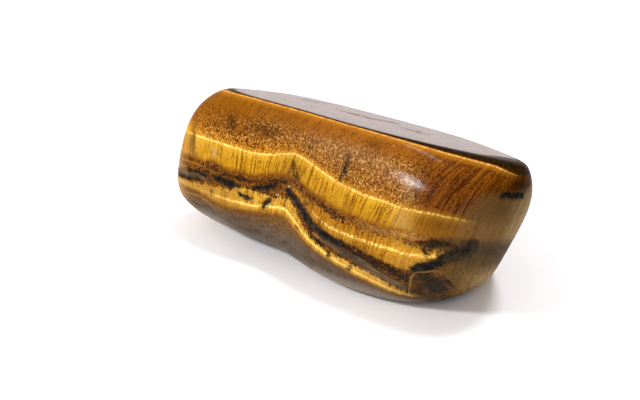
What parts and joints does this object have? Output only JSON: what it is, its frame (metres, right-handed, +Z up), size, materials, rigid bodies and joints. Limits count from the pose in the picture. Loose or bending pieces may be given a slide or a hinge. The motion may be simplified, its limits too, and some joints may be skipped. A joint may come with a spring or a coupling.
{
  "type": "polished tiger's eye stone",
  "caption": "Tumbled block of tiger's eye with a ground flat top, a shallow furrow down the front, rounded ends and a small flat foot; banded gold and brown.",
  "frame": {"origin": "middle of the bounding box in plan, at the foot, which rests on z = 0", "axes": "+X along the length towards the overhanging end, -Y the banded front with the furrow, +Z up"},
  "size_m": [0.0466, 0.025, 0.0215],
  "materials": {
    "stone": "polished"
  },
  "bodies": {
    "root": {"tigers_eye_stone": "stone"}
  },
  "joints": []
}
